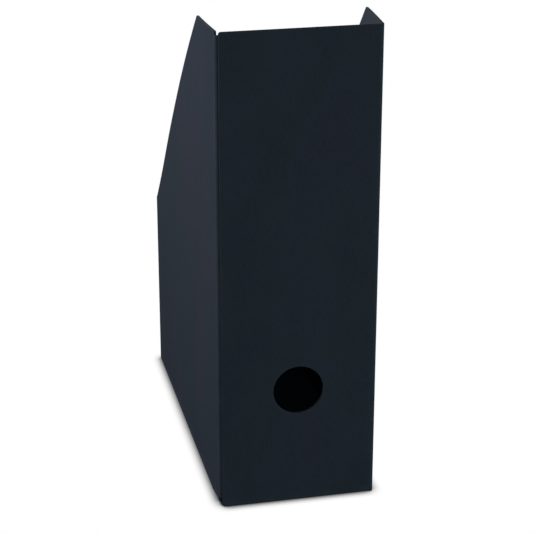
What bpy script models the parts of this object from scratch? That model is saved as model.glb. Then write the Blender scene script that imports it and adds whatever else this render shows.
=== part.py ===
"""Magazine file holder: one sheet of folded board, glued into a tube at its front left corner.

Metres, +Z up. The origin is the middle of the footprint on the standing surface, and the front
faces -Y. Every panel is a flat board, and every fold between two panels is a rounded strip with a
small gap to the boards beside it. Each board that turns hangs on an empty on its fold line.
"""

import math

import bmesh
import bpy
from mathutils import Matrix

# Outside sizes of the standing file.
WIDTH = 0.103
DEPTH = 0.242
HEIGHT = 0.315
TOP_DEPTH = 0.046  # level stretch of the sides' top edges, before the slanted cut
REAR_HEIGHT = 0.131

# The board and its folds.
BOARD = 0.0015
GAP = 0.0003  # clearance between neighbouring solids
FOLD_INSIDE_RADIUS = 0.0005
FOLD_STEPS = 6  # facets round a quarter turn

# Finger hole in the front, on its middle line.
HOLE_RADIUS = 0.01625
HOLE_HEIGHT = 0.0796
HOLE_STEPS = 48

# Glued seam behind the front's left edge.
SEAM_STEP = 0.0016  # from the left side's outer face in to the front's cut edge
SEAM_FLAP_WIDTH = 0.022
SEAM_FLAP_TAPER = 0.012  # how much lower its free edge ends, at the top and at the bottom
SEAM_TOP_INSET = 0.0022
SEAM_BOTTOM_INSET = 0.0055

# Base, with a tuck tab at its rear end.
BASE_CORNER_RELIEF = 0.003  # how far each front corner is cut in
BASE_RELIEF_LENGTH = 0.024
TUCK_GAP = 0.0015  # room between the tuck tab and the rear panel
TUCK_WIDTH = 0.060
TUCK_HEIGHT = 0.018
TUCK_CORNER = 0.006

# Dust flaps, one on each side, above the base.
FLAP_WIDTH = 0.040
FLAP_FRONT_INSET = 0.005
FLAP_FRONT_LEAN = 1.75  # run along the side for each unit inwards
FLAP_REAR_INSET = 0.010
FLAP_REAR_LEAN = 0.3

LAYER = BOARD + GAP
FOLD_RADIUS = FOLD_INSIDE_RADIUS + BOARD
PANEL_START = FOLD_RADIUS + GAP  # from an outer plane to the board beside its fold

LEFT, RIGHT = -WIDTH / 2, WIDTH / 2
FRONT, REAR = -DEPTH / 2, DEPTH / 2
SEAM_FACE = FRONT + LAYER  # outer face of the seam flap, behind the front
FLAP_FLOOR = LAYER  # underside of the dust flaps
SIDE_FLOOR = FLAP_FLOOR + PANEL_START
TUCK_FACE = REAR - BOARD - TUCK_GAP  # outer face of the tuck tab

# Fold lines, each on the inside corner of the two boards that it joins.
LEFT_FOLD = (LEFT + BOARD, SEAM_FACE + BOARD, 0)
RIGHT_FOLD = (RIGHT - BOARD, SEAM_FACE + BOARD, 0)
REAR_FOLD = (RIGHT - BOARD, REAR - BOARD, 0)
BASE_FOLD = (0, FRONT + BOARD, BOARD)
TUCK_FOLD = (0, TUCK_FACE - BOARD, BOARD)
LEFT_FLAP_FOLD = (LEFT + BOARD, 0, FLAP_FLOOR + BOARD)
RIGHT_FLAP_FOLD = (RIGHT - BOARD, 0, FLAP_FLOOR + BOARD)

# Drawing planes: the columns say where a drawing's own X, Y and Z point.
LYING = Matrix.Identity(3)
FACING_FRONT = Matrix(((1, 0, 0), (0, 0, -1), (0, 1, 0)))
FACING_SIDE = Matrix(((0, 0, 1), (1, 0, 0), (0, 1, 0)))

# The quarter turns of a drawing, counted from +X towards +Y.
RIGHT_UPPER, LEFT_UPPER, LEFT_LOWER, RIGHT_LOWER = range(4)

# Finishes: linear colour and roughness.
OUTER_FACE = ((0.022, 0.027, 0.035), 0.72)
HIDDEN_FACE = ((0.030, 0.035, 0.042), 0.8)
FOLDED_EDGE = ((0.036, 0.042, 0.050), 0.66)


def clear_scene():
    for obj in list(bpy.data.objects):
        bpy.data.objects.remove(obj)


def new_collection(name, helpers=False):
    collection = bpy.data.collections.new(name)
    collection.hide_render = helpers
    bpy.context.scene.collection.children.link(collection)
    return collection


def new_material(name, colour, roughness):
    material = bpy.data.materials.new(name)
    material.use_nodes = True
    shader = material.node_tree.nodes["Principled BSDF"]
    shader.inputs["Base Color"].default_value = (*colour, 1)
    shader.inputs["Roughness"].default_value = roughness
    shader.inputs["Metallic"].default_value = 0
    return material


def hang(obj, parent):
    """Parents obj without moving it."""
    bpy.context.view_layer.update()
    obj.parent = parent
    obj.matrix_parent_inverse = parent.matrix_world.inverted()


def fold_line(name, place, parent=None):
    """An empty on a fold's axis, which carries the boards that turn about it."""
    empty = bpy.data.objects.new(name, None)
    empty.empty_display_size = 0.01
    empty.location = place
    holder.objects.link(empty)
    if parent:
        hang(empty, parent)
    return empty


def welded_mesh(name, drawn):
    """The mesh of a filled curve, with its caps joined to its walls and its faces pointing out."""
    bpy.context.view_layer.update()
    graph = bpy.context.evaluated_depsgraph_get()
    mesh = bpy.data.meshes.new_from_object(drawn.evaluated_get(graph))
    mesh.name = name
    shape = bmesh.new()
    shape.from_mesh(mesh)
    bmesh.ops.remove_doubles(shape, verts=shape.verts, dist=1e-6)
    bmesh.ops.recalc_face_normals(shape, faces=shape.faces)
    shape.to_mesh(mesh)
    shape.free()
    return mesh


def cut_board(name, outlines, plane, place, thickness, finish, parent=None):
    """A solid of this thickness from closed outlines in a drawing plane, whose middle is at place."""
    curve = bpy.data.curves.new(f"{name}_outline", "CURVE")
    curve.dimensions = "2D"
    curve.fill_mode = "BOTH"
    curve.extrude = thickness / 2
    for outline in outlines:
        spline = curve.splines.new("POLY")
        spline.points.add(len(outline) - 1)
        for point, (x, y) in zip(spline.points, outline):
            point.co = (x, y, 0, 1)
        spline.use_cyclic_u = True
    drawn = bpy.data.objects.new(f"{name}_drawing", curve)
    drawn.matrix_world = Matrix.Translation(place) @ plane.to_4x4()
    holder.objects.link(drawn)

    board = bpy.data.objects.new(name, welded_mesh(name, drawn))
    board.matrix_world = drawn.matrix_world
    holder.objects.link(board)
    board.data.materials.append(new_material(f"{name}_board", *finish))
    bpy.data.objects.remove(drawn)
    bpy.data.curves.remove(curve)
    if parent:
        hang(board, parent)
    return board


def arc(centre, radius, start, sweep, steps):
    """Points from start through sweep, both in radians, with both ends where sweep isn't a full turn."""
    turns = [start + sweep * step / steps for step in range(steps + 1)]
    return [(centre[0] + radius * math.cos(a), centre[1] + radius * math.sin(a)) for a in turns]


def fold_strip(name, centre, quarter, plane, place, length, parent=None):
    """A quarter turn of board round centre, length long: the rounded edge between two boards."""
    start, sweep = quarter * math.pi / 2, math.pi / 2
    outer = arc(centre, FOLD_RADIUS, start, sweep, FOLD_STEPS)
    inner = arc(centre, FOLD_INSIDE_RADIUS, start, sweep, FOLD_STEPS)
    strip = cut_board(name, [outer + inner[::-1]], plane, place, length, FOLDED_EDGE, parent)
    strip.data.shade_smooth()
    strip.data.set_sharp_from_angle(angle=math.radians(40))


def upright_strip(name, centre, quarter, low, high, parent=None):
    """A fold strip that stands from low to high."""
    fold_strip(name, centre, quarter, LYING, (0, 0, (low + high) / 2), high - low, parent)


def make_front():
    left, right = LEFT + SEAM_STEP, RIGHT - PANEL_START
    sheet = [(left, PANEL_START), (right, PANEL_START), (right, HEIGHT), (left, HEIGHT)]
    hole = arc((0, HOLE_HEIGHT), HOLE_RADIUS, 0, 2 * math.pi, HOLE_STEPS)[:-1]
    place = (0, FRONT + BOARD / 2, 0)
    cut_board("front_panel", [sheet, hole], FACING_FRONT, place, BOARD, OUTER_FACE)
    centre = (RIGHT - FOLD_RADIUS, FRONT + FOLD_RADIUS)
    upright_strip("front_right_crease", centre, RIGHT_LOWER, PANEL_START, HEIGHT)


def make_seam():
    low, high = SEAM_BOTTOM_INSET, HEIGHT - SEAM_TOP_INSET
    left = LEFT + PANEL_START
    right = left + SEAM_FLAP_WIDTH
    flap = [(left, low), (right, low + SEAM_FLAP_TAPER), (right, high - SEAM_FLAP_TAPER), (left, high)]
    place = (0, SEAM_FACE + BOARD / 2, 0)
    cut_board("seam_flap", [flap], FACING_FRONT, place, BOARD, HIDDEN_FACE)
    centre = (LEFT + FOLD_RADIUS, SEAM_FACE + FOLD_RADIUS)
    upright_strip("seam_crease", centre, LEFT_LOWER, low, high)


def make_side(name, middle, front_end, parent):
    """A side board: level along the top, then cut straight down to the rear's height."""
    rear_end = REAR - PANEL_START
    slope = (HEIGHT - REAR_HEIGHT) / (DEPTH - TOP_DEPTH)
    outline = [
        (front_end, SIDE_FLOOR),
        (rear_end, SIDE_FLOOR),
        (rear_end, REAR_HEIGHT + slope * PANEL_START),
        (FRONT + TOP_DEPTH, HEIGHT),
        (front_end, HEIGHT),
    ]
    cut_board(name, [outline], FACING_SIDE, (middle, 0, 0), BOARD, OUTER_FACE, parent)


def make_rear(rear_fold, right_fold):
    left, right = LEFT + PANEL_START, RIGHT - PANEL_START
    sheet = [(left, 0), (right, 0), (right, REAR_HEIGHT), (left, REAR_HEIGHT)]
    cut_board("rear_panel", [sheet], FACING_FRONT, (0, REAR - BOARD / 2, 0), BOARD, OUTER_FACE, rear_fold)
    centre_y = REAR - FOLD_RADIUS
    upright_strip("rear_left_crease", (LEFT + FOLD_RADIUS, centre_y), LEFT_UPPER, 0, REAR_HEIGHT, rear_fold)
    upright_strip("rear_right_crease", (RIGHT - FOLD_RADIUS, centre_y), RIGHT_UPPER, 0, REAR_HEIGHT, right_fold)


def make_base(base_fold):
    half, relieved = WIDTH / 2, WIDTH / 2 - BASE_CORNER_RELIEF
    front_end, rear_end = FRONT + PANEL_START, TUCK_FACE - PANEL_START
    full_width_from = front_end + BASE_RELIEF_LENGTH
    outline = [
        (-relieved, front_end),
        (relieved, front_end),
        (half, full_width_from),
        (half, rear_end),
        (-half, rear_end),
        (-half, full_width_from),
    ]
    cut_board("base_panel", [outline], LYING, (0, 0, BOARD / 2), BOARD, OUTER_FACE, base_fold)
    centre = (FRONT + FOLD_RADIUS, FOLD_RADIUS)
    fold_strip("base_crease", centre, LEFT_LOWER, FACING_SIDE, (0, 0, 0), 2 * relieved)


def make_tuck_tab(tuck_fold, base_fold):
    half, shoulder = TUCK_WIDTH / 2, TUCK_HEIGHT - TUCK_CORNER
    outline = [
        (-half, PANEL_START),
        (half, PANEL_START),
        (half, shoulder),
        (half - TUCK_CORNER, TUCK_HEIGHT),
        (TUCK_CORNER - half, TUCK_HEIGHT),
        (-half, shoulder),
    ]
    place = (0, TUCK_FACE - BOARD / 2, 0)
    cut_board("base_tuck_tab", [outline], FACING_FRONT, place, BOARD, HIDDEN_FACE, tuck_fold)
    centre = (TUCK_FACE - FOLD_RADIUS, FOLD_RADIUS)
    fold_strip("tuck_crease", centre, RIGHT_LOWER, FACING_SIDE, (0, 0, 0), TUCK_WIDTH, base_fold)


def make_dust_flap(side, out, quarter, flap_fold, side_fold):
    """The dust flap of one side: out is -1 on the left and 1 on the right."""
    front_end, rear_end = LEFT_FOLD[1] + FLAP_FRONT_INSET, REAR - FLAP_REAR_INSET
    outer = out * (WIDTH / 2 - PANEL_START)
    inner = outer - out * FLAP_WIDTH
    outline = [
        (outer, front_end),
        (outer, rear_end),
        (inner, rear_end - FLAP_REAR_LEAN * FLAP_WIDTH),
        (inner, front_end + FLAP_FRONT_LEAN * FLAP_WIDTH),
    ]
    place = (0, 0, FLAP_FLOOR + BOARD / 2)
    cut_board(f"{side}_bottom_flap", [outline], LYING, place, BOARD, HIDDEN_FACE, flap_fold)
    centre = (out * (WIDTH / 2 - FOLD_RADIUS), FLAP_FLOOR + FOLD_RADIUS)
    place = (0, (front_end + rear_end) / 2, 0)
    length = rear_end - front_end
    fold_strip(f"{side}_flap_crease", centre, quarter, FACING_FRONT, place, length, side_fold)


clear_scene()
holder = new_collection("magazine_file_holder")
new_collection("cutters", helpers=True)

left_fold = fold_line("left_side_fold", LEFT_FOLD)
right_fold = fold_line("right_side_fold", RIGHT_FOLD)
rear_fold = fold_line("rear_fold", REAR_FOLD, right_fold)
base_fold = fold_line("base_fold", BASE_FOLD)
tuck_fold = fold_line("tuck_tab_fold", TUCK_FOLD, base_fold)
left_flap_fold = fold_line("left_flap_fold", LEFT_FLAP_FOLD, left_fold)
right_flap_fold = fold_line("right_flap_fold", RIGHT_FLAP_FOLD, right_fold)

make_front()
make_seam()
make_side("left_side_panel", LEFT + BOARD / 2, SEAM_FACE + PANEL_START, left_fold)
make_side("right_side_panel", RIGHT - BOARD / 2, FRONT + PANEL_START, right_fold)
make_rear(rear_fold, right_fold)
make_base(base_fold)
make_tuck_tab(tuck_fold, base_fold)
make_dust_flap("left", -1, LEFT_LOWER, left_flap_fold, left_fold)
make_dust_flap("right", 1, RIGHT_LOWER, right_flap_fold, right_fold)
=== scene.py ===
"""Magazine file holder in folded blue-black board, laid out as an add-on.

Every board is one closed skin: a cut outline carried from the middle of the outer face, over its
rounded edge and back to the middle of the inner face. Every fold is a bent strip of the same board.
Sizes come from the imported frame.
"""

import math
from collections import namedtuple

import bpy
import numpy as np
from bpy.props import FloatProperty, FloatVectorProperty, PointerProperty
from bpy.types import Operator, Panel, PropertyGroup
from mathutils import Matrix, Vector


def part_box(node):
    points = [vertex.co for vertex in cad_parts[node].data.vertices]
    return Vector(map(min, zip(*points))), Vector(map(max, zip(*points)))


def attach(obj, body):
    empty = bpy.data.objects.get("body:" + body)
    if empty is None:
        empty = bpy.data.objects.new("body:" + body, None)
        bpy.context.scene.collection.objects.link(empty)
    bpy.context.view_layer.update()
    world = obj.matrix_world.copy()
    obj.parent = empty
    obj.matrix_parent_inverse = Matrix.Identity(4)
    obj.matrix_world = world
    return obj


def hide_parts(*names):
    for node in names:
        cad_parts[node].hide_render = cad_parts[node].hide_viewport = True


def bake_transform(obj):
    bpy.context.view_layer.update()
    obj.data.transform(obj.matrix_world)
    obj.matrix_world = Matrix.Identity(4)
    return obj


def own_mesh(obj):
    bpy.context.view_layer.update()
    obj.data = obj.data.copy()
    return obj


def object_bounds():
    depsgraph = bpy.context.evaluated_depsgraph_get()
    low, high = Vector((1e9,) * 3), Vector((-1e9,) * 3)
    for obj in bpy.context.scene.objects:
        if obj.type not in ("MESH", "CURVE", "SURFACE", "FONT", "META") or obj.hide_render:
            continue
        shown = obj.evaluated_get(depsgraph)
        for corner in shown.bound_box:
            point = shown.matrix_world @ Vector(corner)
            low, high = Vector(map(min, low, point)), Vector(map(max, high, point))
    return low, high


bl_info = {
    "name": "Magazine File Holder",
    "version": (1, 0, 0),
    "blender": (4, 5, 0),
    "location": "3D View > Sidebar > File Holder",
    "description": "Builds a folded-board magazine file on its packed frame",
    "category": "Add Mesh",
}

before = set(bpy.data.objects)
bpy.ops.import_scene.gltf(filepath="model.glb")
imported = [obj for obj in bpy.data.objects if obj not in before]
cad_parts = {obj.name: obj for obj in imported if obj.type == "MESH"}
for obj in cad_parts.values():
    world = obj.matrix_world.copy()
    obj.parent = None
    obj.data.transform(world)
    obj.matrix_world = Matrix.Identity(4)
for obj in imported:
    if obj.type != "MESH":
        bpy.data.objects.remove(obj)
CAD_BOX = [list(corner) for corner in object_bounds()]

MM = 0.001
X, Y, Z = np.eye(3)

# Places that the frame gives.
(LEFT, FRONT, _), (RIGHT, REAR, HEIGHT) = CAD_BOX
FRONT_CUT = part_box("front_panel")[0].x
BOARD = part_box("front_panel")[1].y - FRONT
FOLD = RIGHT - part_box("front_right_crease")[0].x  # outer radius of a fold
SEAM_LOW, SEAM_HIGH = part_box("seam_crease")
FLAP_LOW, FLAP_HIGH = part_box("left_flap_crease")
TAB_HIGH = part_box("base_tuck_tab")[1]
REAR_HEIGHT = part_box("rear_panel")[1].z
SIDE_POINTS = [v.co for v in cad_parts["right_side_panel"].data.vertices]
TOP_END = max(point.y for point in SIDE_POINTS if point.z > HEIGHT - MM / 10)  # of a side's level top
SLOPE = (HEIGHT - REAR_HEIGHT) / (REAR - TOP_END)
SIDE_FLOOR = FLAP_LOW.z + FOLD  # where a side meets its dust flap's fold

# How finely a skin is divided.
CORNER_STEPS = 10
EDGE_SPACING = 3 * MM
FACE_RINGS, RING_CROWDING = 30, 1.8  # rings of a face, which crowd towards its edge
ROUND_STEPS = 4
WALL_STEPS = 4
FOLD_STEPS = 16
FOLD_ROWS = 90
SHARP = math.radians(40)

# How an edge is shaped.
SCORE_ROUND = 0.05 * MM  # rounding beside a fold, which leaves the fine line of the score
EDGE_START = 1.5 * MM  # length over which a cut edge takes up its full rounding beside a fold
UNDER_SHARE = 0.6  # rounding of the inner face's edge, as a share of the outer one
FOLD_WAVER = 0.03 * MM  # how far a fold's outer face wavers

# How far wear reaches in from an edge, and how strong it is; beside a fold it is also a painted highlight.
CUT_WEAR_REACH = 0.9 * MM
FOLD_HIGHLIGHT_AND_WEAR_REACH, FOLD_HIGHLIGHT_AND_WEAR = 2.0 * MM, 3.8
RIM_WEAR_REACH, RIM_WEAR = 0.7 * MM, 2.0
# Wear of a fold's strip, which on its outer face also paints the highlight of its rounding: beside its
# boards, what its middle has more, on its inner face, at its ends.
STRIP_HIGHLIGHT_AND_WEAR, STRIP_MIDDLE_HIGHLIGHT_AND_WEAR, STRIP_INSIDE, STRIP_ENDS = 0.25, 0.45, 0.1, 0.8

# How boards stand out of flat.
# A side's bow is share * (1 - share) ** BOW_FALL along the side, whose highest value is BOW_PEAK, so
# that it is strongest towards the front.
BOW_FALL, BOW_PEAK = 1.6, 0.1768
DIE_PRESS, DIE_REACH = 0.16 * MM, 1.1 * MM  # dip round the hole, and how far it reaches
TAB_LEAN = 0.5 * MM  # of the tuck tab's free edge, away from the rear board
WAVE_REACH = 18 * MM  # soft waves grow to their full height this far from a board's sides and foot

# Corners of the boards.
SEAM_LEAN = 0.25 * MM  # the front's cut edge opens so far at the top, and closes half of it below
CORNER_CLEARANCE = 0.1 * MM  # from the base fold's right end to the upright fold
FOOT_CLEARANCE = 0.2 * MM  # under the upright fold at the front right
SLIT = 1.4 * MM  # beside each dust flap
TAB_SLIT = 1.2 * MM  # beside the tuck tab
SIDE_DROP = 1.2 * MM  # how far a side's foot reaches below the top of its dust flap's fold
HEEL_FLOOR, HEEL_START = 0.4 * MM, 0.9 * MM  # height of the right side's heel, and its setback
BASE_GAP = 0.6 * MM  # between the base's rear edge and the rear board
BASE_STEP = (1.1 * MM, 1.0 * MM)  # corner of the base beside the seam, outwards and rearwards

# Floor: how far it runs out on each side, and the gap under the holder.
FLOOR_REACH, FLOOR_GAP = 20.0, 0.05 * MM

# Camera: where it looks, from how far, and in which direction.
CAMERA_AIM, CAMERA_DISTANCE = Vector((0.00308, -0.01460, 0.12312)), 1.1498
CAMERA_HEADING, CAMERA_DROP = math.radians(12.643), math.radians(21.532)
SENSOR = 36

# Lamps: place, width, height, setting that holds the power, share of it, and colour. They face the
# holder's axis at this share of its height.
LAMP_AIM = 0.55
LAMPS = {
    "Key Softbox": ((-0.70, 0.03, 0.68), 0.3, 0.3, "key", 1, (0.98, 0.83, 0.87)),
    "Front Right Softbox": ((1.45, -1.35, 0.25), 0.9, 0.45, "fill", 1.35, (1, 1, 1)),
    "Front Left Softbox": ((-0.80, -1.85, 0.25), 0.9, 0.45, "fill", 0.8, (1, 1, 1)),
    "Rear Right Softbox": ((1.3, 1.7, 0.75), 1.0, 1.0, "rear", 1, (1, 1, 1)),
    "Rear Left Softbox": ((-0.15, 2.0, 0.70), 0.9, 0.9, "rear", 1, (1, 1, 1)),
}
# Shade of the floor for each share of open sky over it, which paints the soft shadow at the foot.
SHADOW = ((0.30, 0.02), (0.52, 0.22), (0.62, 0.42), (0.74, 0.68), (0.88, 0.90), (0.985, 1))

# A flat place for a board: a point of its outer face, two directions in it, and the way in.
Sheet = namedtuple("Sheet", "outer across up into")
# A place for a fold: two directions across it, and the direction along it.
Crease = namedtuple("Crease", "across up along")

UPRIGHT = Crease(X, Y, Z)
CROSSWISE = Crease(Y, Z, X)
ENDWISE = Crease(X, Z, Y)

# Quarter turns, counted from across towards up.
RIGHT_UPPER, LEFT_UPPER, LEFT_LOWER, RIGHT_LOWER = (math.radians(a) for a in (0, 90, 180, 270))
QUARTER = math.radians(90)


# ---------------------------------------------------------------- settings


class HolderBoardSettings(PropertyGroup):
    """Shape of the board beyond what the frame fixes."""

    cut_round: FloatProperty(
        name="Cut edge rounding", description="How far a cut edge is rolled over on the outer face",
        default=0.34 * MM, min=0.0, max=0.7 * MM, unit="LENGTH", precision=5)
    side_bow: FloatProperty(
        name="Side bow", description="How far the free upper edges of the sides spring outwards",
        default=3.4 * MM, min=0.0, max=6 * MM, unit="LENGTH", precision=4)
    front_bow: FloatProperty(
        name="Front bow", description="How far the middle of the front stands out",
        default=0.5 * MM, min=0.0, max=3 * MM, unit="LENGTH", precision=4)
    flap_curl: FloatProperty(
        name="Flap curl", description="How far the free edges of the dust flaps lift off the base",
        default=1.6 * MM, min=0.0, max=5 * MM, unit="LENGTH", precision=4)
    ripple: FloatProperty(
        name="Ripple", description="Height of the soft waves that stiff board has",
        default=0.07 * MM, min=0.0, max=0.5 * MM, unit="LENGTH", precision=5)


class HolderFinishSettings(PropertyGroup):
    """Colours of the dyed board, and how coarse its surface is."""

    face_colour: FloatVectorProperty(
        name="Face", description="Dyed outer face", subtype="COLOR", size=3, min=0, max=1,
        default=(0.0187, 0.0305, 0.0427))
    tab_colour: FloatVectorProperty(
        name="Tab", description="Dyed outer face of the flaps and tabs", subtype="COLOR", size=3,
        min=0, max=1, default=(0.0168, 0.0275, 0.0384))
    lining_colour: FloatVectorProperty(
        name="Lining", description="Paler inner face of the board", subtype="COLOR", size=3,
        min=0, max=1, default=(0.0245, 0.0385, 0.0500))
    # Paler than the face: partly dye stretched round the fold, partly a painted highlight of its rounding.
    fold_and_highlight_colour: FloatVectorProperty(
        name="Fold", description="Dyed face where it is stretched round a fold", subtype="COLOR", size=3,
        min=0, max=1, default=(0.0215, 0.0390, 0.0570))
    core_colour: FloatVectorProperty(
        name="Cut edge", description="Fibre core where the board is cut", subtype="COLOR", size=3,
        min=0, max=1, default=(0.0108, 0.0177, 0.0248))
    # Paler colour of rubbed edges, which along folds also paints the highlight of their rounding.
    worn_and_highlight_colour: FloatVectorProperty(
        name="Rubbed edge", description="Where handling has rubbed the dye", subtype="COLOR", size=3,
        min=0, max=1, default=(0.034, 0.052, 0.070))
    roughness: FloatProperty(
        name="Roughness", description="Of the matte face", default=0.78, min=0, max=1, subtype="FACTOR")
    fibre: FloatProperty(
        name="Fibre", description="Width of the paper fibres", default=0.45 * MM, min=0.05 * MM,
        max=3 * MM, unit="LENGTH", precision=5)
    mottle: FloatProperty(
        name="Mottle", description="Size of the faint clouds in the dye", default=38 * MM, min=2 * MM,
        max=200 * MM, unit="LENGTH", precision=4)


class HolderStageSettings(PropertyGroup):
    """Floor, light and camera."""

    floor_colour: FloatVectorProperty(
        name="Floor", description="Pale floor", subtype="COLOR", size=3, min=0, max=1,
        default=(1.0, 1.0, 1.0))
    bounce: FloatProperty(
        name="Bounce", description="How much light the floor throws back", default=0.12, min=0, max=1,
        subtype="FACTOR")
    contact: FloatProperty(
        name="Contact shadow", description="How far the soft shadow at the foot reaches",
        default=8 * MM, min=MM, max=100 * MM, unit="LENGTH", precision=4)
    key: FloatProperty(
        name="Key light", description="Soft light high on the left", default=6.85, min=0, max=200,
        unit="POWER")
    fill: FloatProperty(
        name="Front lights", description="Two broad soft lights low in front, left and right",
        default=8.0, min=0, max=200, unit="POWER")
    rear: FloatProperty(
        name="Rear lights", description="Two soft lights high behind, left and right", default=9.0,
        min=0, max=200, unit="POWER")
    surroundings: FloatProperty(
        name="Surroundings", description="Even light of the room", default=0.10, min=0, max=2)
    lens: FloatProperty(
        name="Lens", description="Focal length in mm, on a sensor 36 mm wide", default=112.85, min=20,
        max=400)


# ---------------------------------------------------------------- outlines and skins


def unit(vector):
    return vector / np.linalg.norm(vector)


def left_of(direction):
    return np.array((-direction[1], direction[0]))


def smooth(t):
    t = np.clip(t, 0, 1)
    return t * t * (3 - 2 * t)


def trace_outline(corners):
    """Walks anticlockwise round a cut outline.

    corners are (across, up, radius, cut), where cut says whether the edge that follows is a cut edge
    or lies along a fold. Each corner is an arc tangent to both of its edges, with a negative radius
    where the outline turns clockwise, and each edge is divided evenly, with extra points near its
    ends. Gives the points, the directions inwards, and a share from 0 beside a fold to 1 on a cut edge.
    """
    count = len(corners)
    spots = np.array([corner[:2] for corner in corners], float)
    cuts = np.array([corner[3] for corner in corners], bool)
    free = cuts & np.roll(cuts, 1)
    arcs = []
    for i in range(count):
        came, goes = unit(spots[i] - spots[i - 1]), unit(spots[(i + 1) % count] - spots[i])
        turn = math.atan2(came[0] * goes[1] - came[1] * goes[0], came @ goes)
        radius = corners[i][2]
        centre = spots[i] - came * radius * math.tan(turn / 2) + left_of(came) * radius
        first = math.atan2(-left_of(came)[1], -left_of(came)[0])
        angles = first + np.linspace(0, turn, CORNER_STEPS if abs(turn) > 0.01 else 1)
        spokes = np.stack((np.cos(angles), np.sin(angles)), 1)
        arcs.append((centre + radius * spokes, -spokes))
    points, inwards, shares = [], [], []
    for i in range(count):
        arc, spokes = arcs[i]
        points.append(arc)
        inwards.append(spokes)
        shares.append(np.full(len(arc), float(free[i])))
        start, end = arc[-1], arcs[(i + 1) % count][0][0]
        length = np.linalg.norm(end - start)
        steps = max(2, round(length / EDGE_SPACING))
        even = np.arange(1, steps) / steps
        near = np.array((0.2 * MM, 0.5 * MM, 0.8 * MM, 1.1 * MM, EDGE_START)) / length
        along = np.unique(np.concatenate((even, near[near < 0.4], 1 - near[near < 0.4])))
        points.append(start + along[:, None] * (end - start))
        inwards.append(np.repeat([left_of(unit(end - start))], len(along), 0))
        before = 1 if free[i] else smooth(along * length / EDGE_START)
        after = 1 if free[(i + 1) % count] else smooth((1 - along) * length / EDGE_START)
        shares.append(np.minimum(before, after) * np.full(len(along), float(cuts[i])))
    return np.concatenate(points), np.concatenate(inwards), np.concatenate(shares)


def rolled_edge(rounding):
    """Insets and depths down a board's edge, from its outer face to its inner face.

    A quarter circle of this rounding, a straight wall, and a smaller quarter circle. rounding has one
    value for each point of the outline, and the results have a row for each step.
    """
    turn = np.linspace(0, math.pi / 2, ROUND_STEPS + 1)[:, None]
    under = UNDER_SHARE * rounding
    over_inset, over_depth = rounding * (1 - np.sin(turn)), rounding * (1 - np.cos(turn))
    fall = np.linspace(0, 1, WALL_STEPS + 1)[1:-1, None]
    wall_depth = rounding + fall * (BOARD - under - rounding)
    under_inset, under_depth = under * (1 - np.cos(turn)), BOARD - under * (1 - np.sin(turn))
    insets = np.concatenate((over_inset, wall_depth * 0, under_inset))
    depths = np.concatenate((over_depth, wall_depth, under_depth))
    return insets, depths


def grid_faces(rows, columns, closed_rows):
    """Quads of a grid whose columns close on themselves, and whose rows do too where asked."""
    row = np.arange(rows if closed_rows else rows - 1)[:, None]
    column = np.arange(columns)[None, :]
    after, beside = (row + 1) % rows, (column + 1) % columns
    quads = (row * columns + column, row * columns + beside,
             after * columns + beside, after * columns + column)
    return np.stack(np.broadcast_arrays(*quads), -1).reshape(-1, 4)


def new_piece(name, points, quads, fans, marks):
    """A mesh object from its points, its quads and its triangles, turned to face outwards."""
    triangles = np.concatenate((quads[:, [0, 1, 2]], quads[:, [0, 2, 3]], fans))
    centred = points - points.mean(0)
    a, b, c = (centred[triangles[:, k]] for k in range(3))
    if np.einsum("ij,ij->", a, np.cross(b, c)) < 0:
        quads, fans = quads[:, ::-1], fans[:, ::-1]
    mesh = bpy.data.meshes.new(name)
    mesh.from_pydata(points, [], quads.tolist() + fans.tolist())
    for mark, values in marks.items():
        mesh.attributes.new(mark, "FLOAT", "POINT").data.foreach_set("value", values.astype(np.float32))
    mesh.shade_smooth()
    mesh.set_sharp_from_angle(angle=SHARP)
    mesh.update()
    piece = bpy.data.objects.new(name, mesh)
    bpy.context.scene.collection.objects.link(piece)
    return piece


def pole_fan(pole, first, columns, forward):
    """Triangles from one point to a ring of them."""
    column = np.arange(columns)
    ring, beside = first + column, first + (column + 1) % columns
    sides = (ring, beside) if forward else (beside, ring)
    return np.stack((np.full(columns, pole), *sides), -1)


def rubbed_and_highlit(distance, share):
    """Wear beside an edge: it falls off exponentially, and more slowly beside a fold, where it also paints
    the fold's highlight.
    """
    beside_cut = share * np.exp(-distance / CUT_WEAR_REACH)
    return beside_cut + FOLD_HIGHLIGHT_AND_WEAR * (1 - share) * np.exp(-distance / FOLD_HIGHLIGHT_AND_WEAR_REACH)


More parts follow.
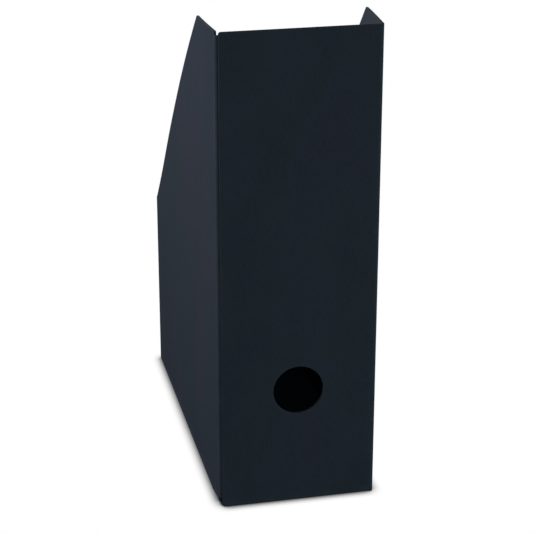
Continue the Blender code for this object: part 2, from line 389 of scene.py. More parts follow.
def cut_sheet(name, sheet, corners, rise=None, hole=None):
    """A board as one closed skin.

    Rings of the outline run from the core over the outer face, down the rolled edge and back over
    the inner face: point(ring, step) = core + share(ring) * (inset outline - core). The core is the
    outline's middle, or the rim of a round hole, whose own rolled edge then closes the skin. rise
    gives how far each point stands out of the flat sheet. Three marks tell the finish where the board
    is rubbed, and beside a fold also where its highlight is painted (wear), where it is cut (core), and
    which half of it faces inwards (lining).
    """
    board = bpy.context.scene.holder_board
    outline, inwards, shares = trace_outline(corners)
    rounding = SCORE_ROUND + shares * (board.cut_round - SCORE_ROUND)
    insets, depths = rolled_edge(rounding)
    columns = len(outline)
    edge = outline + insets[:, :, None] * inwards

    step = np.linspace(0, 1, FACE_RINGS + 1)
    if hole:
        middle, radius = np.array(hole[:2]), hole[2]
        outwards = outline - middle
        outwards /= np.linalg.norm(outwards, axis=1)[:, None]
        rim_inset, rim_depth = rolled_edge(np.full(columns, board.cut_round))
        rim = middle + (radius + rim_inset)[:, :, None] * outwards
        spread = (0.5 - 0.5 * np.cos(math.pi * step))[1:-1, None, None]
    else:
        middle = outline.mean(0) * 0.5 + (outline.min(0) + outline.max(0)) * 0.25
        rim = np.broadcast_to(middle, (2, columns, 2))
        spread = (1 - (1 - step) ** RING_CROWDING)[1:-1, None, None]
    outer_face = rim[0] + spread * (edge[0] - rim[0])
    inner_face = (rim[-1] + spread * (edge[-1] - rim[-1]))[::-1]
    flat = np.concatenate((outer_face, edge, inner_face))
    zero_out, zero_in = outer_face[:, :, 0] * 0, inner_face[:, :, 0] * 0
    bare = (depths > rounding * UNDER_SHARE) * (depths < BOARD - 0.1 * rounding)
    deep = np.concatenate((zero_out, depths, zero_in + BOARD))
    wall = np.concatenate((zero_out, bare, zero_in))
    # Rubbing near cut edges and the hole; beside folds this mark also paints the highlight of their rounding.
    wear_and_highlight = rubbed_and_highlit(np.linalg.norm(flat - outline, axis=2), shares)
    if hole:
        flat = np.concatenate((flat, rim[::-1]))
        deep = np.concatenate((deep, rim_depth[::-1]))
        wall = np.concatenate((wall, (rim_depth[::-1] > board.cut_round * UNDER_SHARE) * 1.0))
        wear_and_highlight = np.concatenate((wear_and_highlight, np.ones_like(rim_depth)))
        to_rim = np.abs(np.linalg.norm(flat - middle, axis=2) - radius)
        wear_and_highlight = np.maximum(wear_and_highlight, RIM_WEAR * np.exp(-to_rim / RIM_WEAR_REACH))

    rows = len(flat)
    flat = flat.reshape(-1, 2)
    deep, wall, wear_and_highlight = (values.reshape(-1) for values in (deep, wall, wear_and_highlight))
    quads = grid_faces(rows, columns, bool(hole))
    fans = np.zeros((0, 3), int)
    if not hole:
        flat = np.concatenate((flat, [middle, middle]))
        deep = np.concatenate((deep, [0, BOARD]))
        wall, wear_and_highlight = (np.concatenate((values, [0, 0])) for values in (wall, wear_and_highlight))
        first_pole, last_ring = rows * columns, (rows - 1) * columns
        fans = np.concatenate((pole_fan(first_pole, 0, columns, False),
                               pole_fan(first_pole + 1, last_ring, columns, True)))
    lining = (deep > BOARD / 2) * 1.0
    if rise:
        deep = deep - rise(flat[:, 0], flat[:, 1])
    points = sheet.outer + flat[:, :1] * sheet.across + flat[:, 1:] * sheet.up + deep[:, None] * sheet.into
    return new_piece(name, points, quads, fans, {"wear_and_highlight": wear_and_highlight, "core": wall, "lining": lining})


def bent_strip(name, crease, centre, start, low, high, sweep=QUARTER, end_round=0.25 * MM):
    """The board where it goes round a fold, as one closed skin.

    The section is a closed loop: an arc of the fold's outer radius, its end, an arc of the inner
    radius back, and its other end. It is carried along the fold: place = low + share * (high - low),
    and at both ends a quarter circle rounds the board's thickness off. low and high are lengths, or
    functions of a point of the section. The outer face wavers by a sum of two sines along the fold,
    which fades out at the strip's sides and ends. The marks are those of a board.
    """
    inner, middle = FOLD - BOARD, FOLD - BOARD / 2
    turn = np.linspace(0, 1, FOLD_STEPS + 1)
    back = turn[::-2]
    radius = np.concatenate((turn * 0 + FOLD, (FOLD - SCORE_ROUND, inner + SCORE_ROUND),
                             back * 0 + inner, (inner + SCORE_ROUND, FOLD - SCORE_ROUND)))
    gap_out, gap_in = SCORE_ROUND / FOLD, SCORE_ROUND / inner
    angle = start + np.concatenate((gap_out + turn * (sweep - 2 * gap_out), (sweep, sweep),
                                    gap_in + back * (sweep - 2 * gap_in), (0, 0)))
    across_fold = np.concatenate((turn, (1, 1), back, (0, 0)))
    columns = len(radius)

    quarter = np.linspace(0, QUARTER, ROUND_STEPS + 1)
    pinch, lift = end_round * (1 - np.sin(quarter)), end_round * (1 - np.cos(quarter))
    even = np.linspace(0, 1, FOLD_ROWS)[1:-1]
    share = np.concatenate((quarter * 0, even, quarter * 0 + 1))
    lift = np.concatenate((lift, end_round * (1 - 2 * even), -lift[::-1]))
    pinch = np.concatenate((pinch, even * 0, pinch[::-1]))

    waver = (np.sin(share * 37) + 0.6 * np.sin(share * 83 + 1.3)) * np.sin(math.pi * share)
    bend = np.sin(math.pi * across_fold)
    ridge = np.where(radius > middle, FOLD_WAVER * bend**2, 0)
    bent = middle + (radius - middle) * (1 - pinch[:, None] / (BOARD / 2)) + ridge * waver[:, None]
    a, b = centre[0] + bent * np.cos(angle), centre[1] + bent * np.sin(angle)
    bottom = low(a, b) if callable(low) else low
    top = high(a, b) if callable(high) else high
    c = np.broadcast_to(bottom + share[:, None] * (top - bottom) + lift[:, None], a.shape)

    middle_turn = start + sweep / 2
    pole = centre[0] + middle * math.cos(middle_turn), centre[1] + middle * math.sin(middle_turn)
    poles = [(*pole, c[0].mean()), (*pole, c[-1].mean())]
    points = np.concatenate((np.stack((a, b, c), -1).reshape(-1, 3), poles)) @ np.stack(crease)
    rows = len(share)
    fans = np.concatenate((pole_fan(rows * columns, 0, columns, False),
                           pole_fan(rows * columns + 1, (rows - 1) * columns, columns, True)))
    ends = (pinch / end_round)[:, None]
    # On the outer face this wear is also the painted highlight of the fold's rounding, most at its middle.
    handled_and_lit = np.where(radius > middle, STRIP_HIGHLIGHT_AND_WEAR + STRIP_MIDDLE_HIGHLIGHT_AND_WEAR * bend, STRIP_INSIDE)
    wear_and_highlight = np.append(np.maximum(handled_and_lit, STRIP_ENDS * ends).reshape(-1), (0, 0))
    core = np.append(np.broadcast_to(ends > 0.9, a.shape).reshape(-1) * 1.0, (1, 1))
    lining = np.append(np.broadcast_to(radius < middle, a.shape).reshape(-1) * 1.0, (1, 1))
    return new_piece(name, points, grid_faces(rows, columns, False), fans,
                     {"wear_and_highlight": wear_and_highlight, "core": core, "lining": lining})


# ---------------------------------------------------------------- how the boards stand out of flat


def waves(a, b, phase):
    """Soft waves of stiff board: three crossing sines, in metres."""
    return (np.sin(a * 71 + b * 23 + phase) + 0.7 * np.sin(a * 29 - b * 64 + 2.1 * phase)
            + 0.5 * np.sin(a * 113 + b * 97 - phase)) / 2.2


def held(a, b, left, right, foot):
    """0 along the left, right and lower limits of a board, growing to 1 a short way from them."""
    return (smooth((a - left) / WAVE_REACH) * smooth((right - a) / WAVE_REACH)
            * smooth((b - foot) / WAVE_REACH))


def side_rise(front_end):
    """A side's free upper edge springs outwards, between folds that hold it.

    The bow along the side is divided by its highest value, and multiplied by the share of the height
    to the power of 1.5. Soft waves are added to it.
    """

    def rise(a, b):
        board = bpy.context.scene.holder_board
        rear_end = REAR - FOLD
        share = np.clip((a - front_end) / (rear_end - front_end), 0, 1)
        edge = np.where(a < TOP_END, HEIGHT, HEIGHT - SLOPE * (a - TOP_END))
        upwards = np.clip((b - SIDE_FLOOR) / (edge - SIDE_FLOOR), 0, 1)
        along = share * (1 - share) ** BOW_FALL / BOW_PEAK
        bow = board.side_bow * along * upwards**1.5
        return bow + board.ripple * waves(a, b, 0.4) * held(a, b, front_end, rear_end, SIDE_FLOOR)

    return rise


def front_rise(a, b):
    """The front stands out a little in its middle, and dips where the hole's die pressed it in.

    A sine across the board times a sine up it, soft waves, and less a dip that fades out from the rim.
    """
    board = bpy.context.scene.holder_board
    right = RIGHT - FOLD
    share = np.clip((a - FRONT_CUT) / (right - FRONT_CUT), 0, 1)
    bow = board.front_bow * np.sin(math.pi * share) * np.sin(math.pi * np.clip(b / HEIGHT, 0, 1) ** 0.8)
    to_rim = np.hypot(a - HOLE[0], b - HOLE[1]) - HOLE[2]
    pressed = DIE_PRESS * np.exp(-np.maximum(to_rim, 0) / DIE_REACH)
    return bow + board.ripple * waves(a, b, 2.2) * held(a, b, FRONT_CUT, right, FOLD) - pressed


def rear_rise(a, b):
    """The rear board only has soft waves."""
    board = bpy.context.scene.holder_board
    return board.ripple * waves(a, b, 4.1) * held(a, b, LEFT + FOLD, RIGHT - FOLD, 0)


def tab_rise(a, b):
    """The tuck tab leans in a little towards its free end. Its outer face is the one near the rear."""
    return -TAB_LEAN * smooth((b - FOLD) / (TAB_HIGH.z - FOLD))


def flap_rise(a, b):
    """A dust flap lifts off the base towards its free edge. Its outer face is its underside."""
    curl = bpy.context.scene.holder_board.flap_curl
    inwards = np.clip((RIGHT - FOLD - np.abs(a)) / (RIGHT - FOLD - FLAP_INNER), 0, 1)
    return -curl * inwards**1.6 * (1 + 0.25 * np.sin(b * 31))


def hole_place():
    """Middle and radius of the front's finger hole, from the points of its CAD node inside the outline."""
    low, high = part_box("front_panel")
    spots = np.array([v.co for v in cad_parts["front_panel"].data.vertices])[:, [0, 2]]
    inner = spots[(spots[:, 0] > low.x + BOARD) & (spots[:, 0] < high.x - BOARD)]
    lowest, highest = inner.min(0), inner.max(0)
    return (*(lowest + highest) / 2, (highest[0] - lowest[0]) / 2)


HOLE = hole_place()
FLAP_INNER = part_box("right_bottom_flap")[0].x


# ---------------------------------------------------------------- finishes


def add_node(tree, kind, inputs=None, **settings):
    """A node with its settings, and with its inputs set to values or linked to other sockets."""
    node = tree.nodes.new(kind)
    for key, value in settings.items():
        setattr(node, key, value)
    for key, value in (inputs or {}).items():
        if isinstance(value, bpy.types.NodeSocket):
            tree.links.new(value, node.inputs[key])
        else:
            node.inputs[key].default_value = value
    return node


def add_group(tree, group, **inputs):
    """Places an effect group, and gives its outputs."""
    return add_node(tree, "ShaderNodeGroup", inputs, node_tree=group).outputs


def effect_group(name, inputs, outputs):
    """A new group with named inputs, as name: (type, default), and named outputs, as name: type."""
    group = bpy.data.node_groups.new(name, "ShaderNodeTree")
    for label, (kind, default) in inputs.items():
        socket = group.interface.new_socket(label, in_out="INPUT", socket_type=kind)
        if default is not None:
            socket.default_value = default
    for label, kind in outputs.items():
        group.interface.new_socket(label, in_out="OUTPUT", socket_type=kind)
    return group, group.nodes.new("NodeGroupInput").outputs, group.nodes.new("NodeGroupOutput").inputs


def paper_grain():
    """Fibres, felt marks and faint clouds of dye: a tone to multiply by, a roughness and a height."""
    if "Paper Grain" in bpy.data.node_groups:
        return bpy.data.node_groups["Paper Grain"]
    group, given, made = effect_group(
        "Paper Grain",
        {"Vector": ("NodeSocketVector", None), "Fibre": ("NodeSocketFloat", 0.5 * MM),
         "Mottle": ("NodeSocketFloat", 40 * MM), "Roughness": ("NodeSocketFloat", 0.6)},
        {"Tone": "NodeSocketColor", "Roughness": "NodeSocketFloat", "Height": "NodeSocketFloat"})

    def per(size):
        return add_node(group, "ShaderNodeMath", {0: 1.0, 1: size}, operation="DIVIDE").outputs[0]

    def spread(value, low, high):
        ends = {"Value": value, "To Min": low, "To Max": high}
        return add_node(group, "ShaderNodeMapRange", ends).outputs[0]

    drawn_out = add_node(group, "ShaderNodeMapping", {"Vector": given["Vector"], "Scale": (1, 1, 0.16)})
    fibre = add_node(group, "ShaderNodeTexNoise", {
        "Vector": drawn_out.outputs[0], "Scale": per(given["Fibre"]), "Detail": 5.0, "Roughness": 0.62,
        "Distortion": 0.8})
    tooth = add_node(group, "ShaderNodeTexNoise", {
        "Vector": given["Vector"], "Scale": per(given["Fibre"]), "Detail": 2.0, "Roughness": 0.5})
    upright = add_node(group, "ShaderNodeMapping", {"Vector": given["Vector"], "Scale": (1, 1, 0.5)})
    clouds = add_node(group, "ShaderNodeTexNoise", {
        "Vector": upright.outputs[0], "Scale": per(given["Mottle"]), "Detail": 3.0, "Roughness": 0.55,
        "Distortion": 0.4})
    flecks = add_node(group, "ShaderNodeTexVoronoi", {"Vector": given["Vector"], "Scale": 190.0},
                      feature="F1", distance="EUCLIDEAN")

    tint = add_node(group, "ShaderNodeValToRGB", {"Fac": clouds.outputs["Fac"]})
    ramp = tint.color_ramp
    ramp.elements[0].position, ramp.elements[0].color = 0.36, (0.86, 0.98, 0.99, 1)
    ramp.elements[1].position, ramp.elements[1].color = 0.66, (1.12, 0.98, 1.06, 1)
    middle = ramp.elements.new(0.5)
    middle.color = (0.97, 1.03, 1.02, 1)
    dark_or_light = spread(fibre.outputs["Fac"], 0.50, 1.55)
    toned = add_node(group, "ShaderNodeVectorMath", {0: tint.outputs["Color"], "Scale": dark_or_light},
                     operation="SCALE")
    speck = add_node(group, "ShaderNodeMapRange", {
        "Value": flecks.outputs["Distance"], "From Min": 0.0, "From Max": 0.05, "To Min": 1.5, "To Max": 1.0})
    chance = add_node(group, "ShaderNodeMath", {0: flecks.outputs["Color"], 1: 0.82},
                      operation="GREATER_THAN")
    some = add_node(group, "ShaderNodeMix", {"Factor": chance.outputs[0], "A": 1.0, "B": speck.outputs[0]})
    flecked = add_node(group, "ShaderNodeVectorMath", {0: toned.outputs[0], "Scale": some.outputs[0]},
                       operation="SCALE")
    group.links.new(flecked.outputs[0], made["Tone"])

    drift = add_node(group, "ShaderNodeMath", {
        0: spread(fibre.outputs["Fac"], -0.07, 0.07),
        1: spread(clouds.outputs["Fac"], -0.06, 0.06)}, operation="ADD")
    rough = add_node(group, "ShaderNodeMath", {0: given["Roughness"], 1: drift.outputs[0]}, operation="ADD")
    group.links.new(rough.outputs[0], made["Roughness"])
    height = add_node(group, "ShaderNodeMath", {0: fibre.outputs["Fac"], 1: tooth.outputs["Fac"]},
                      operation="ADD")
    group.links.new(height.outputs[0], made["Height"])
    return group


def rubbed_and_highlit_edges():
    """How much dye has rubbed off, with the painted highlight along folds: the piece's own wear, broken up by
    blotches and fine scuffs.
    """
    if "Rubbed And Highlit Edges" in bpy.data.node_groups:
        return bpy.data.node_groups["Rubbed And Highlit Edges"]
    group, given, made = effect_group(
        "Rubbed And Highlit Edges",
        {"Vector": ("NodeSocketVector", None), "Wear": ("NodeSocketFloat", 0.0),
         "Amount": ("NodeSocketFloat", 1.0)},
        {"Mask": "NodeSocketFloat"})
    blotch = add_node(group, "ShaderNodeTexNoise", {"Vector": given["Vector"], "Scale": 75.0, "Detail": 4.0})
    scuff = add_node(group, "ShaderNodeTexNoise", {"Vector": given["Vector"], "Scale": 900.0, "Detail": 3.0})
    patchy = add_node(group, "ShaderNodeMapRange", {
        "Value": blotch.outputs["Fac"], "From Min": 0.42, "From Max": 0.66, "To Min": 0.12, "To Max": 1.0})
    fine = add_node(group, "ShaderNodeMapRange", {
        "Value": scuff.outputs["Fac"], "From Min": 0.4, "From Max": 0.62, "To Min": 0.25, "To Max": 1.0})
    both = add_node(group, "ShaderNodeMath", {0: patchy.outputs[0], 1: fine.outputs[0]}, operation="MULTIPLY")
    worn_and_highlit = add_node(group, "ShaderNodeMath", {0: given["Wear"], 1: both.outputs[0]}, operation="MULTIPLY")
    mask = add_node(group, "ShaderNodeMath", {0: worn_and_highlit.outputs[0], 1: given["Amount"]}, operation="MULTIPLY",
                    use_clamp=True)
    group.links.new(mask.outputs[0], made["Mask"])
    return group


def cut_core():
    """The layers that show where board is cut: streaks that run along the edge, as a tone and a height."""
    if "Cut Core" in bpy.data.node_groups:
        return bpy.data.node_groups["Cut Core"]
    group, given, made = effect_group(
        "Cut Core", {"Vector": ("NodeSocketVector", None)},
        {"Tone": "NodeSocketFloat", "Height": "NodeSocketFloat"})
    layers = add_node(group, "ShaderNodeTexNoise", {
        "Vector": given["Vector"], "Scale": 2600.0, "Detail": 3.0, "Roughness": 0.6})
    ragged = add_node(group, "ShaderNodeTexNoise", {"Vector": given["Vector"], "Scale": 420.0, "Detail": 4.0})
    tone = add_node(group, "ShaderNodeMapRange", {
        "Value": ragged.outputs["Fac"], "From Min": 0.3, "From Max": 0.7, "To Min": 0.65, "To Max": 1.4})
    group.links.new(tone.outputs[0], made["Tone"])
    height = add_node(group, "ShaderNodeMath", {0: layers.outputs["Fac"], 1: ragged.outputs["Fac"]},
                      operation="ADD")
    group.links.new(height.outputs[0], made["Height"])
    return group


def dyed_board(name, colour, wear_and_highlight_amount):
    """Matte dyed board: grain over the colours of both faces, a bare core on cut edges, and rubbing, which
    along folds also paints their highlight.
    """
    if name in bpy.data.materials:
        return bpy.data.materials[name]
    finish = bpy.context.scene.holder_finish
    material = bpy.data.materials.new(name)
    material.use_nodes = True
    tree = material.node_tree
    place = add_node(tree, "ShaderNodeTexCoord").outputs["Object"]
    wear_and_highlight = add_node(tree, "ShaderNodeAttribute", attribute_name="wear_and_highlight").outputs["Fac"]
    core = add_node(tree, "ShaderNodeAttribute", attribute_name="core").outputs["Fac"]
    lining = add_node(tree, "ShaderNodeAttribute", attribute_name="lining").outputs["Fac"]
    grain = add_group(tree, paper_grain(), Vector=place, Fibre=finish.fibre, Mottle=finish.mottle,
                      Roughness=finish.roughness)
    rubbing_and_highlight = add_group(tree, rubbed_and_highlit_edges(), Vector=place, Wear=wear_and_highlight, Amount=wear_and_highlight_amount)
    layers = add_group(tree, cut_core(), Vector=place)

    ground = add_node(tree, "ShaderNodeMix", {0: lining, 6: (*colour, 1), 7: (*finish.lining_colour, 1)},
                      data_type="RGBA")
    dyed = add_node(tree, "ShaderNodeVectorMath", {0: ground.outputs[2], 1: grain["Tone"]},
                    operation="MULTIPLY")
    bare = add_node(tree, "ShaderNodeVectorMath", {0: finish.core_colour, "Scale": layers["Tone"]},
                    operation="SCALE")
    cut = add_node(tree, "ShaderNodeMix", {0: core, 6: dyed.outputs[0], 7: bare.outputs[0]},
                   data_type="RGBA")
    # The paler rubbed colour, which along folds is also the painted highlight of their rounding.
    worn_and_highlight_colour = (*finish.worn_and_highlight_colour, 1)
    worn_and_highlit = add_node(tree, "ShaderNodeMix", {0: rubbing_and_highlight["Mask"], 6: cut.outputs[2], 7: worn_and_highlight_colour},
                    data_type="RGBA")
    ragged = add_node(tree, "ShaderNodeMath", {0: layers["Height"], 1: core}, operation="MULTIPLY")
    relief = add_node(tree, "ShaderNodeMath", {0: grain["Height"], 1: ragged.outputs[0]}, operation="ADD")
    bump = add_node(tree, "ShaderNodeBump", {
        "Strength": 0.6, "Distance": 0.05 * MM, "Height": relief.outputs[0]})

    shader = tree.nodes["Principled BSDF"]
    shader.inputs["Specular IOR Level"].default_value = 0.15
    tree.links.new(worn_and_highlit.outputs[2], shader.inputs["Base Color"])
    tree.links.new(grain["Roughness"], shader.inputs["Roughness"])
    tree.links.new(bump.outputs[0], shader.inputs["Normal"])
    return material


def face_board():
    return dyed_board("Dyed Board Face", bpy.context.scene.holder_finish.face_colour, 0.3)


def tab_board():
    return dyed_board("Dyed Board Tab", bpy.context.scene.holder_finish.tab_colour, 0.4)


# Folds are paler and fully rubbed: partly real crease wear, partly a painted highlight of their rounding.
def fold_board_with_highlight():
    return dyed_board("Dyed Board Fold With Highlight", bpy.context.scene.holder_finish.fold_and_highlight_colour, 1.0)


def finish_piece(piece, material, node=None):
    """Gives a piece its board, and hides the CAD node it stands for."""
    piece.data.materials.append(material)
    if node:
        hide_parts(node)


def make_fold(name, crease, centre, start, low, high, bodies, **shape):
    """A fold strip, with its points baked into place. bodies, the boards on either side of it in the order of
    its angle, is not used.
    """
    strip = bent_strip(name, crease, centre, start, low, high, **shape)
    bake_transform(strip)
    return strip


# ---------------------------------------------------------------- pieces


class HOLDER_OT_front_panel(Operator):
    """Front board with its round finger hole. Its left edge is cut, and laps over the seam"""

    bl_idname = "holder.front_panel"
    bl_label = "Front Panel"

    def execute(self, context):
        sheet = Sheet(np.array((0, FRONT, 0)), X, Z, Y)
        corners = [
            (FRONT_CUT - SEAM_LEAN / 2, FOLD, 1.5 * MM, False),
            (RIGHT - FOLD, FOLD, 0.4 * MM, False),
            (RIGHT - FOLD, HEIGHT, 0.5 * MM, True),
            (FRONT_CUT + SEAM_LEAN, HEIGHT, 1.7 * MM, True),
        ]
        panel = cut_sheet("front_board", sheet, corners, front_rise, HOLE)
        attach(panel, "front")
        finish_piece(panel, face_board(), "front_panel")
        return {"FINISHED"}


class HOLDER_OT_seam(Operator):
    """Glued seam: the left side turns a corner and runs on behind the front"""

    bl_idname = "holder.seam"
    bl_label = "Glued Seam"

    def execute(self, context):
        low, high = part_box("seam_flap")
        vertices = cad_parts["seam_flap"].data.vertices
        taper = high.z - max(v.co.z for v in vertices if v.co.x > high.x - BOARD)
        left = LEFT + FOLD
        corners = [
            (left, low.z, 0.3 * MM, True),
            (high.x, low.z + taper, 2 * MM, True),
            (high.x, high.z - taper, 2 * MM, True),
            (left, high.z, 0.3 * MM, False),
        ]
        flap = cut_sheet("seam_lap", Sheet(np.array((0, SEAM_LOW.y, 0)), X, Z, Y), corners)
        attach(flap, "front")
        finish_piece(flap, tab_board(), "seam_flap")
        centre = LEFT + FOLD, SEAM_LOW.y + FOLD
        strip = make_fold("seam_fold", UPRIGHT, centre, LEFT_LOWER, SEAM_LOW.z, SEAM_HIGH.z,
                          ("left_side", "front"), end_round=0.45 * MM)
        finish_piece(strip, tab_board(), "seam_crease")
        return {"FINISHED"}


class HOLDER_OT_front_fold(Operator):
    """Upright fold between the front and the right side"""

    bl_idname = "holder.front_fold"
    bl_label = "Front Right Fold"

    def execute(self, context):
        strip = make_fold("front_right_fold", UPRIGHT, (RIGHT - FOLD, FRONT + FOLD), RIGHT_LOWER,
                          FOOT_CLEARANCE, HEIGHT, ("front", "right_side"))
        finish_piece(strip, fold_board_with_highlight(), "front_right_crease")
        return {"FINISHED"}


class HOLDER_OT_sides(Operator):
    """Left and right side boards: level on top, then cut straight down to the rear"""

    bl_idname = "holder.sides"
    bl_label = "Side Panels"

    def execute(self, context):
        rear_end, rear_top = REAR - FOLD, REAR_HEIGHT + SLOPE * FOLD
        foot, right_end = SIDE_FLOOR - SIDE_DROP, FRONT + FOLD
        left_front = [
            (SEAM_LOW.y + FOLD, foot, 1.0 * MM, True),
            (FLAP_LOW.y - SLIT, foot, 0.3 * MM, True),
        ]
        # A heel closes the corner beside the base's relief, and stays clear of the base fold's end.
        right_front = [
            (right_end, foot, 0.3 * MM, True),
            (right_end + HEEL_START, foot, -0.2 * MM, True),
            (right_end + HEEL_START, HEEL_FLOOR, 0.3 * MM, True),
            (FLAP_LOW.y - 2 * SLIT, HEEL_FLOOR, 0.3 * MM, True),
        ]
        for side, outer, into, front_corners, top_round in (
            ("left", LEFT, X, left_front, 1.2 * MM),
            ("right", RIGHT, -X, right_front, 0.4 * MM),
        ):
            front_end = front_corners[0][0]
            corners = front_corners + [
                (FLAP_LOW.y, SIDE_FLOOR, -0.3 * MM, False),
                (FLAP_HIGH.y, SIDE_FLOOR, -0.3 * MM, True),
                (FLAP_HIGH.y + 1.5 * SLIT, foot, 0.3 * MM, True),
                (rear_end, foot, 0.5 * MM, False),
                (rear_end, rear_top, 0.4 * MM, True),
                (TOP_END, HEIGHT, 1.0 * MM, True),
                (front_end, HEIGHT, top_round, False),
            ]
            sheet = Sheet(np.array((outer, 0, 0)), Y, Z, into)
            panel = cut_sheet(f"{side}_side_board", sheet, corners, side_rise(front_end))
            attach(panel, f"{side}_side")
            finish_piece(panel, face_board(), f"{side}_side_panel")
        return {"FINISHED"}


class HOLDER_OT_rear(Operator):
    """Low rear board and its upright folds. The left fold is in two halves, one on each board"""

    bl_idname = "holder.rear"
    bl_label = "Rear Panel"

    def execute(self, context):
        left, right = LEFT + FOLD, RIGHT - FOLD
        corners = [
            (left, 0, 0.4 * MM, True),
            (right, 0, 0.4 * MM, False),
            (right, REAR_HEIGHT, 0.4 * MM, True),
            (left, REAR_HEIGHT, 0.4 * MM, False),
        ]
        panel = cut_sheet("rear_board", Sheet(np.array((0, REAR, 0)), X, Z, -Y), corners, rear_rise)
        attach(panel, "rear")
        finish_piece(panel, face_board(), "rear_panel")

        def slanted_top(a, b):
            """Height of a rear fold's upper end, which carries the sides' slope on to the rear board."""
            return REAR_HEIGHT + SLOPE * np.clip(REAR - b, 0, FOLD)

        strip = make_fold("rear_right_fold", UPRIGHT, (right, REAR - FOLD), RIGHT_UPPER, 0, slanted_top,
                          ("right_side", "rear"))
        finish_piece(strip, fold_board_with_highlight(), "rear_right_crease")
        for name, body, start, axis in (
            ("rear_left_fold_rear_half", "rear", LEFT_UPPER, X),
            ("rear_left_fold_side_half", "left_side", LEFT_UPPER + QUARTER / 2, Y),
        ):
            half = bent_strip(name, UPRIGHT, (left, REAR - FOLD), start, 0, slanted_top, sweep=QUARTER / 2)
            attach(half, body)
            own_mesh(half)
            finish_piece(half, fold_board_with_highlight(), "rear_left_crease" if body == "rear" else None)
        return {"FINISHED"}


class HOLDER_OT_base(Operator):
    """Base board and the fold that hangs it from the front"""

    bl_idname = "holder.base"
    bl_label = "Base Panel"

    def execute(self, context):
        low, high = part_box("base_panel")
        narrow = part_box("base_crease")[1].x
        front_end, rear_end, tab = FRONT + FOLD, TAB_HIGH.y - FOLD, TAB_HIGH.x
        rear_edge = REAR - BOARD - BASE_GAP
        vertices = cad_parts["base_panel"].data.vertices
        wide_from = min(v.co.y for v in vertices if v.co.x > high.x - MM / 10)
        corners = [
            (-narrow, front_end, 0.4 * MM, False),
            (narrow, front_end, 0.4 * MM, True),
            (high.x, wide_from, 1.0 * MM, True),
            (high.x, rear_edge, 1.5 * MM, True),
            (tab + TAB_SLIT, rear_edge, 0.3 * MM, True),
            (tab, rear_end, -0.3 * MM, False),
            (-tab, rear_end, -0.3 * MM, True),
            (-tab - TAB_SLIT, rear_edge, 0.3 * MM, True),
            (low.x, rear_edge, 1.5 * MM, True),
            (low.x, wide_from, 1.0 * MM, True),
            (-narrow - BASE_STEP[0], front_end + BASE_STEP[1], 0.3 * MM, True),
        ]
        panel = cut_sheet("base_board", Sheet(np.zeros(3), X, Y, Z), corners)
        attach(panel, "base")
        finish_piece(panel, face_board(), "base_panel")

        def round_left(a, b):
            """The strip's left end: it draws in towards the foot, by up to a millimetre."""
            return -narrow + 1.0 * MM * np.clip(1 - b / FOLD, 0, 1) ** 1.5

        strip = make_fold("base_fold", CROSSWISE, (front_end, FOLD), LEFT_LOWER, round_left,
                          RIGHT - FOLD - CORNER_CLEARANCE, ("front", "base"))
        finish_piece(strip, fold_board_with_highlight(), "base_crease")
        return {"FINISHED"}


class HOLDER_OT_tuck_tab(Operator):
    """Tab that stands up inside the rear board and locks the base"""

    bl_idname = "holder.tuck_tab"
    bl_label = "Tuck Tab"

    def execute(self, context):
        half, corner = TAB_HIGH.x, 6 * MM
        corners = [
            (-half, FOLD, 0.3 * MM, False),
            (half, FOLD, 0.3 * MM, True),
            (half, TAB_HIGH.z, corner, True),
            (-half, TAB_HIGH.z, corner, True),
        ]
        tab = cut_sheet("tuck_tab", Sheet(np.array((0, TAB_HIGH.y, 0)), X, Z, -Y), corners, tab_rise)
        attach(tab, "tuck_tab")
        finish_piece(tab, tab_board(), "base_tuck_tab")
        strip = make_fold("tuck_fold", CROSSWISE, (TAB_HIGH.y - FOLD, FOLD), RIGHT_LOWER, -half, half,
                          ("base", "tuck_tab"))
        finish_piece(strip, fold_board_with_highlight(), "tuck_crease")
        return {"FINISHED"}


class HOLDER_OT_dust_flaps(Operator):
    """Flaps that turn in from the foot of each side and lie on the base"""

    bl_idname = "holder.dust_flaps"
    bl_label = "Dust Flaps"

    def execute(self, context):
        spots = np.array([v.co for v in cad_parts["right_bottom_flap"].data.vertices])
        inner_edge = spots[spots[:, 0] < FLAP_INNER + MM / 2, 1]
        outer = RIGHT - FOLD
        for side, out, quarter, bodies in (
            ("left", -1, LEFT_LOWER, ("left_side", "left_flap")),
            ("right", 1, RIGHT_LOWER, ("right_flap", "right_side")),
        ):
            corners = [
                (out * outer, FLAP_LOW.y, 0.4 * MM, True),
                (out * FLAP_INNER, inner_edge.min(), 4 * MM, True),
                (out * FLAP_INNER, inner_edge.max(), 4 * MM, True),
                (out * outer, FLAP_HIGH.y, 0.4 * MM, False),
            ]
            if out > 0:  # the right flap's outline is walked the other way round
                corners = [(*a[:3], b[3]) for a, b in zip(corners[::-1], corners[-2::-1] + corners[-1:])]
            underside = Sheet(np.array((0, 0, FLAP_LOW.z)), X, Y, Z)
            flap = cut_sheet(f"{side}_dust_flap", underside, corners, flap_rise)
            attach(flap, f"{side}_flap")
            finish_piece(flap, tab_board(), f"{side}_bottom_flap")
            strip = make_fold(f"{side}_flap_fold", ENDWISE, (out * outer, SIDE_FLOOR), quarter, FLAP_LOW.y,
                              FLAP_HIGH.y, bodies)
            finish_piece(strip, fold_board_with_highlight(), f"{side}_flap_crease")
        return {"FINISHED"}


# ---------------------------------------------------------------- stage


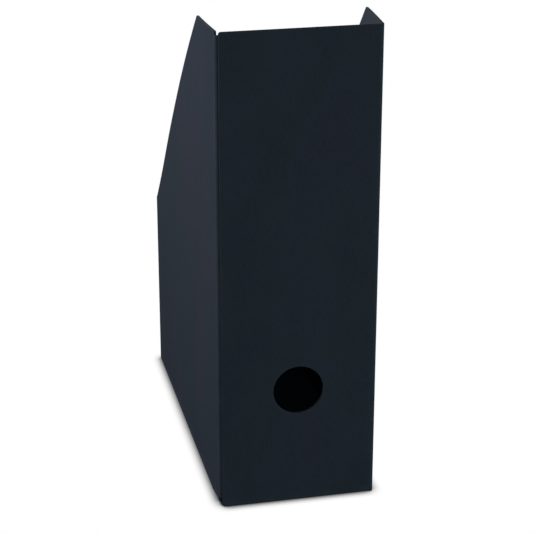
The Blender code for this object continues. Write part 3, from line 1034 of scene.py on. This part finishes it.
def floor_finish(stage):
    """Pale floor: seen directly it is an even glow with a painted soft shadow at the foot, drawn from how
    much open sky is over it; to other light it is dim.
    """
    material = bpy.data.materials.new("Pale Floor")
    material.use_nodes = True
    tree = material.node_tree
    near = add_node(tree, "ShaderNodeAmbientOcclusion", {"Distance": stage.contact}, samples=24)
    ramp = add_node(tree, "ShaderNodeValToRGB", {"Fac": near.outputs["AO"]})
    elements = ramp.color_ramp.elements
    for element, (position, grey) in zip(elements, (SHADOW[0], SHADOW[-1])):
        element.position, element.color = position, (grey, grey, grey, 1)
    for position, grey in SHADOW[1:-1]:
        elements.new(position).color = (grey, grey, grey, 1)
    tinted = add_node(tree, "ShaderNodeVectorMath", {0: ramp.outputs[0], 1: stage.floor_colour},
                      operation="MULTIPLY")
    seen = add_node(tree, "ShaderNodeEmission", {"Color": tinted.outputs[0], "Strength": 1.0})
    bounced = add_node(tree, "ShaderNodeBsdfDiffuse", {"Color": (stage.bounce,) * 3 + (1,)})
    path = add_node(tree, "ShaderNodeLightPath")
    either = add_node(tree, "ShaderNodeMixShader", {
        0: path.outputs["Is Camera Ray"], 1: bounced.outputs[0], 2: seen.outputs[0]})
    tree.links.new(either.outputs[0], tree.nodes["Material Output"].inputs["Surface"])
    return material


def room_light(stage):
    """A pale room to the eye, which lights the object only weakly."""
    world = bpy.data.worlds.new("Pale Room")
    world.use_nodes = True
    tree = world.node_tree
    path = add_node(tree, "ShaderNodeLightPath")
    level = add_node(tree, "ShaderNodeMapRange", {"Value": path.outputs["Is Camera Ray"],
                                                  "To Min": stage.surroundings, "To Max": 1.0})
    backdrop = tree.nodes["Background"]
    backdrop.inputs["Color"].default_value = (*stage.floor_colour, 1)
    tree.links.new(level.outputs[0], backdrop.inputs["Strength"])
    return world


def soft_light(name, spot, aim, width, height, power, colour):
    """A rectangular area light at spot that faces aim."""
    data = bpy.data.lights.new(name, "AREA")
    data.shape, data.size, data.size_y = "RECTANGLE", width, height
    data.energy, data.color = power, colour
    lamp = bpy.data.objects.new(name, data)
    lamp.location = spot
    lamp.rotation_euler = (Vector(aim) - Vector(spot)).to_track_quat("-Z", "Y").to_euler()
    lamp.visible_camera = False
    bpy.context.scene.collection.objects.link(lamp)


class HOLDER_OT_stage(Operator):
    """Pale floor, soft studio light and the camera"""

    bl_idname = "holder.stage"
    bl_label = "Stage"

    def execute(self, context):
        scene, stage = context.scene, context.scene.holder_stage
        scene.view_settings.view_transform = "Standard"
        corners = FLOOR_REACH * np.array(((-1, -1), (1, -1), (1, 1), (-1, 1)))
        mesh = bpy.data.meshes.new("pale_floor")
        mesh.from_pydata(np.column_stack((corners, np.full(4, -FLOOR_GAP))), [], [(0, 1, 2, 3)])
        mesh.materials.append(floor_finish(stage))
        floor = bpy.data.objects.new("pale_floor", mesh)
        scene.collection.objects.link(floor)
        scene.world = room_light(stage)
        aim = (0, 0, HEIGHT * LAMP_AIM)
        for name, (spot, width, height, setting, share, colour) in LAMPS.items():
            soft_light(name, spot, aim, width, height, share * getattr(stage, setting), colour)

        level = math.cos(CAMERA_DROP)
        forward = Vector((math.sin(CAMERA_HEADING) * level, math.cos(CAMERA_HEADING) * level,
                          -math.sin(CAMERA_DROP)))
        data = bpy.data.cameras.new("Camera")
        data.lens, data.sensor_width, data.clip_start = stage.lens, SENSOR, 0.01
        camera = bpy.data.objects.new("Camera", data)
        camera.location = CAMERA_AIM - forward * CAMERA_DISTANCE
        camera.rotation_euler = forward.to_track_quat("-Z", "Y").to_euler()
        scene.collection.objects.link(camera)
        scene.camera = camera
        return {"FINISHED"}


class HOLDER_PT_file_holder(Panel):
    bl_idname = "HOLDER_PT_file_holder"
    bl_label = "Magazine File Holder"
    bl_space_type = "VIEW_3D"
    bl_region_type = "UI"
    bl_category = "File Holder"

    def draw(self, context):
        scene = context.scene
        for title, settings in (("Board", scene.holder_board), ("Finish", scene.holder_finish),
                                ("Stage", scene.holder_stage)):
            box = self.layout.box()
            box.label(text=title)
            for name in settings.__annotations__:
                box.prop(settings, name)
        column = self.layout.column(align=True)
        for maker in MAKERS:
            column.operator(maker.bl_idname)


MAKERS = (
    HOLDER_OT_stage,
    HOLDER_OT_front_panel,
    HOLDER_OT_seam,
    HOLDER_OT_front_fold,
    HOLDER_OT_sides,
    HOLDER_OT_rear,
    HOLDER_OT_base,
    HOLDER_OT_tuck_tab,
    HOLDER_OT_dust_flaps,
)
SETTINGS = {
    "holder_board": HolderBoardSettings,
    "holder_finish": HolderFinishSettings,
    "holder_stage": HolderStageSettings,
}


def register():
    for kind in (*SETTINGS.values(), *MAKERS, HOLDER_PT_file_holder):
        bpy.utils.register_class(kind)
    for name, kind in SETTINGS.items():
        setattr(bpy.types.Scene, name, PointerProperty(type=kind))


def unregister():
    for name in SETTINGS:
        delattr(bpy.types.Scene, name)
    for kind in reversed((*SETTINGS.values(), *MAKERS, HOLDER_PT_file_holder)):
        bpy.utils.unregister_class(kind)


def main():
    register()
    bpy.ops.holder.stage()
    bpy.ops.holder.front_panel()
    bpy.ops.holder.seam()
    bpy.ops.holder.front_fold()
    bpy.ops.holder.sides()
    bpy.ops.holder.rear()
    bpy.ops.holder.base()
    bpy.ops.holder.tuck_tab()
    bpy.ops.holder.dust_flaps()


if __name__ == "__main__":
    main()
